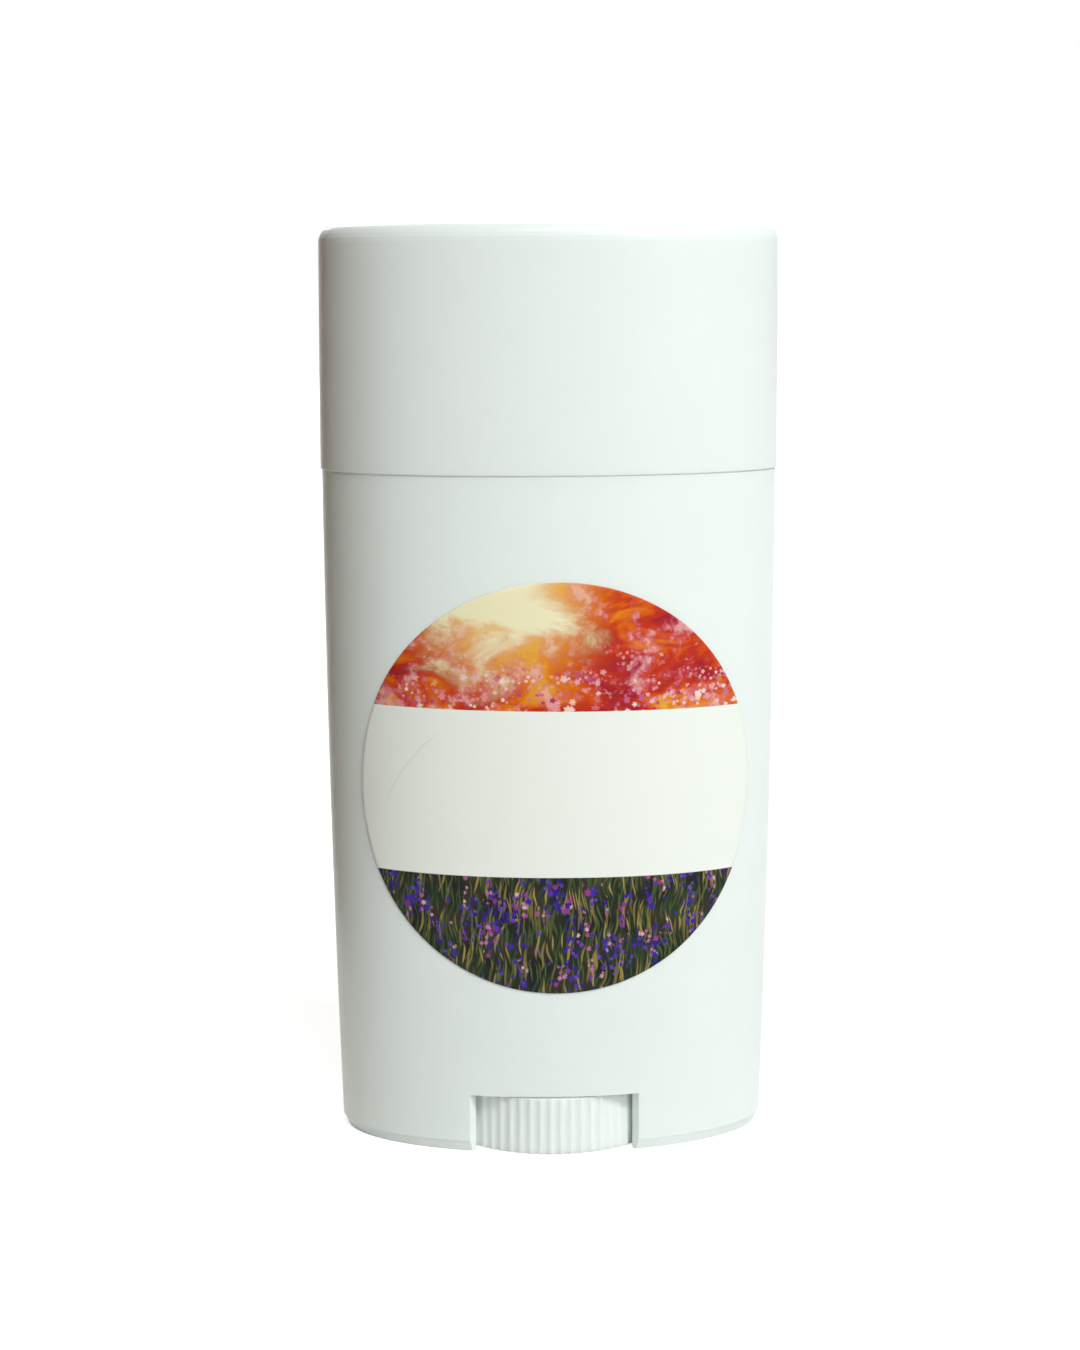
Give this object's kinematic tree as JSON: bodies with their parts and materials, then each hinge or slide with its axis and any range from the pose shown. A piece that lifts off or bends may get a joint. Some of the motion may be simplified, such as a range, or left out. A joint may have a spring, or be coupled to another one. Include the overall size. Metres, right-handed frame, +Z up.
{
  "type": "twist-up deodorant stick",
  "caption": "Oval twist-up deodorant stick: barrel with a fluted thumbwheel and lead screw at its foot, carriage, wax bar, round label and pull-off cap.",
  "frame": {"origin": "middle of the foot, at the height of the surface the stick stands on", "axes": "+Z up along the stick, +X along the width of the oval, -Y towards the front with the label"},
  "size_m": [0.061, 0.032, 0.1223],
  "materials": {
    "barrel_white": "moulded polypropylene, soft gloss",
    "cap_white": "moulded polypropylene, gloss",
    "wheel_white": "moulded polypropylene, satin",
    "carriage_white": "moulded polypropylene, satin",
    "wax": "waxy solid, soft sheen",
    "label_print": "printed and laminated film"
  },
  "bodies": {
    "case": {"barrel": "barrel_white", "label": "label_print"},
    "cap": {"cap": "cap_white"},
    "dial": {"thumbwheel_screw": "wheel_white"},
    "stick": {"carriage": "carriage_white", "deodorant_bar": "wax"}
  },
  "joints": [
    {"name": "cap_pull", "type": "slide", "parent": "case", "child": "cap", "axis": [0, 0, 1], "range_m": [0, 0.06]},
    {"name": "bar_rise", "type": "slide", "parent": "case", "child": "stick", "axis": [0, 0, 1], "range_m": [0, 0.018]},
    {"name": "wheel_turn", "type": "hinge", "parent": "case", "child": "dial", "pos_m": [0, 0, 0.004], "axis": [0, 0, -1], "range_deg": [0, 1080]}
  ],
  "couplings": [
    {"joint": "wheel_turn", "follows": "bar_rise", "rad_per_m": 1047.2}
  ]
}
